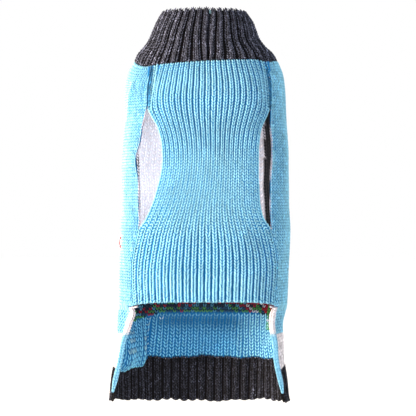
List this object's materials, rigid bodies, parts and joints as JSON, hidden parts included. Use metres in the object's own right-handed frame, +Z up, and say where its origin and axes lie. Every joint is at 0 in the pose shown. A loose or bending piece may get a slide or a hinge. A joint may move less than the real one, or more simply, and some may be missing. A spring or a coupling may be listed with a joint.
{
  "type": "dog sweater",
  "caption": "Sleeveless knitted pullover for a small dog: tapered rib collar, waisted rib belly panel between leg openings, long back with a rib hem.",
  "frame": {"origin": "middle of the neck seam, where the collar joins the body", "axes": "+Z up through the collar towards the head, -Y the belly side, +Y the back, +X the viewer's right in front of the belly"},
  "size_m": [0.1913, 0.1303, 0.41],
  "materials": {
    "charcoal_rib": "matt marled charcoal rib knit",
    "blue_rib": "matt sky blue rib knit",
    "blue_jersey": "matt sky blue plain knit with patterned bands",
    "blue_edge": "matt light blue rolled knit edge"
  },
  "bodies": {
    "root": {"collar": "charcoal_rib", "belly_panel": "blue_rib", "back_panel": "blue_jersey", "tail_hem": "charcoal_rib", "left_tail_edge": "blue_edge", "right_tail_edge": "blue_edge"}
  },
  "joints": []
}
